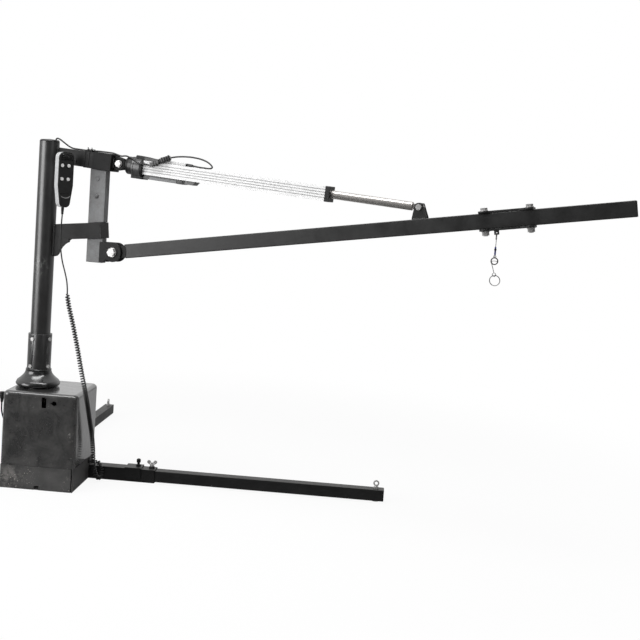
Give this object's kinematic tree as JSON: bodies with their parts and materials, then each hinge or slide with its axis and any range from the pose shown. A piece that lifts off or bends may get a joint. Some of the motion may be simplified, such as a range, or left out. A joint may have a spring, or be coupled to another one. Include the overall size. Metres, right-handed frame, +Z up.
{
  "type": "pickup truck crane",
  "caption": "Swing crane for a pickup bed: motor-turned mast on a covered base with two telescoping legs, boom lifted by a linear actuator, wired hand control.",
  "frame": {"origin": "on the floor, under the mast's axis", "axes": "+X along the right leg, +Y along the back leg, +Z up"},
  "size_m": [1.8929, 1.545, 1.1339],
  "materials": {
    "black_coat": "satin",
    "mast_coat": "satin",
    "grey_coat": "satin",
    "cover_skin": "glossy",
    "black_plastic": "matt",
    "grey_plastic": "matt",
    "white_plastic": "matt",
    "black_rubber": "matt",
    "zinc": "plated",
    "steel": "ground",
    "alloy": "satin extrusion"
  },
  "bodies": {
    "base": {"base_frame": "black_coat", "plinth": "black_coat", "cover": "cover_skin", "spindle_bearings": "steel", "slew_motor": "grey_coat", "control_box": "black_plastic", "receiver_right": "black_coat", "receiver_back": "black_coat", "receiver_straps": "black_coat", "cord_gland": "black_plastic", "power_plug": "black_plastic", "power_lead": "black_rubber", "pendant_cord": "black_rubber", "pendant_cord_curls": "black_rubber"},
    "mast": {"spindle": "steel", "slew_gear": "steel", "mast_socket": "black_coat", "socket_screws": "zinc", "bell_skirt": "mast_coat", "mast_tube": "mast_coat", "mast_cap": "black_plastic", "lower_arm": "black_coat", "upper_arm": "black_coat", "arm_end_cap": "black_plastic", "post": "grey_coat", "actuator_bracket": "black_coat", "boom_ears": "black_coat", "boom_pivot_bolt": "zinc", "actuator_pivot_bolt": "zinc", "arm_cable": "black_rubber", "cable_ties": "black_plastic", "pendant_hook": "zinc", "pendant_shell": "grey_plastic", "pendant_face": "black_plastic"},
    "boom": {"boom_tube": "black_coat", "boom_knuckle": "black_coat", "rod_bracket": "black_coat", "rod_bracket_bolt": "zinc", "clamp_plates": "black_coat", "clamp_bolts": "zinc"},
    "lanyard": {"lanyard": "zinc"},
    "actuator": {"actuator_eye": "steel", "actuator_gearcase": "black_plastic", "actuator_motor": "black_plastic", "actuator_tube": "alloy", "actuator_end_cap": "black_plastic", "lead_screw": "steel", "actuator_cable": "black_rubber"},
    "rod": {"lifting_rod": "steel"},
    "leg_right": {"leg_right": "black_coat"},
    "leg_back": {"leg_back": "black_coat"},
    "level_bolt_right": {"level_bolt_right": "zinc"},
    "level_bolt_back": {"level_bolt_back": "zinc"},
    "thumb_screw_right": {"thumb_screw_right": "zinc"},
    "thumb_screw_back": {"thumb_screw_back": "zinc"},
    "slew_pinion": {"slew_pinion": "steel"},
    "button_1": {"button_1": "white_plastic"},
    "button_2": {"button_2": "white_plastic"},
    "button_3": {"button_3": "white_plastic"},
    "button_4": {"button_4": "white_plastic"}
  },
  "joints": [
    {"name": "mast_swing", "type": "hinge", "parent": "base", "child": "mast", "pos_m": [0, 0, 0.3], "axis": [0, 0, 1], "range_deg": [0, 180]},
    {"name": "pinion_turn", "type": "hinge", "parent": "base", "child": "slew_pinion", "pos_m": [0.05554, -0.0466, 0.28], "axis": [0, 0, 1], "range_deg": [-570, 5]},
    {"name": "boom_lift", "type": "hinge", "parent": "mast", "child": "boom", "pos_m": [0.24624, -0.0446, 0.778], "axis": [-0.2756, -0.9613, 0], "range_deg": [-6, 40]},
    {"name": "actuator_tilt", "type": "hinge", "parent": "mast", "child": "actuator", "pos_m": [0.25009, -0.04571, 1.061], "axis": [-0.2756, -0.9613, 0], "range_deg": [-7, 44]},
    {"name": "rod_travel", "type": "slide", "parent": "actuator", "child": "rod", "axis": [0.9587, -0.2749, -0.0723], "range_m": [-0.186, 0.029]},
    {"name": "lanyard_swing", "type": "hinge", "parent": "boom", "child": "lanyard", "pos_m": [1.41274, -0.39781, 0.93318], "axis": [-0.2756, -0.9613, 0], "range_deg": [-50, 50]},
    {"name": "button_1_press", "type": "slide", "parent": "mast", "child": "button_1", "axis": [-0.766, 0.6428, 0], "range_m": [0, 0.0015], "stiffness_N_per_m": 400},
    {"name": "button_2_press", "type": "slide", "parent": "mast", "child": "button_2", "axis": [-0.766, 0.6428, 0], "range_m": [0, 0.0015], "stiffness_N_per_m": 400},
    {"name": "button_3_press", "type": "slide", "parent": "mast", "child": "button_3", "axis": [-0.766, 0.6428, 0], "range_m": [0, 0.0015], "stiffness_N_per_m": 400},
    {"name": "button_4_press", "type": "slide", "parent": "mast", "child": "button_4", "axis": [-0.766, 0.6428, 0], "range_m": [0, 0.0015], "stiffness_N_per_m": 400},
    {"name": "leg_right_slide", "type": "slide", "parent": "base", "child": "leg_right", "axis": [1, 0, 0], "range_m": [-0.18, 0.05]},
    {"name": "leg_back_slide", "type": "slide", "parent": "base", "child": "leg_back", "axis": [0, 1, 0], "range_m": [-0.18, 0.05]},
    {"name": "level_bolt_right_turn", "type": "hinge", "parent": "leg_right", "child": "level_bolt_right", "pos_m": [1.139, 0.09, 0.03], "axis": [0, 0, 1], "range_deg": [-360, 360]},
    {"name": "level_bolt_back_turn", "type": "hinge", "parent": "leg_back", "child": "level_bolt_back", "pos_m": [-0.029, 1.017, 0.03], "axis": [0, 0, 1], "range_deg": [-360, 360]},
    {"name": "thumb_screw_right_turn", "type": "hinge", "parent": "base", "child": "thumb_screw_right", "pos_m": [0.377, 0.09, 0.05], "axis": [0, 0, 1], "range_deg": [-720, 90]},
    {"name": "thumb_screw_back_turn", "type": "hinge", "parent": "base", "child": "thumb_screw_back", "pos_m": [-0.029, 0.33, 0.05], "axis": [0, 0, 1], "range_deg": [-720, 90]}
  ],
  "couplings": [
    {"joint": "pinion_turn", "follows": "mast_swing", "ratio": -3.1429},
    {"joint": "actuator_tilt", "follows": "boom_lift", "ratio": 1.075},
    {"joint": "rod_travel", "follows": "boom_lift", "m_per_rad": -0.264}
  ]
}
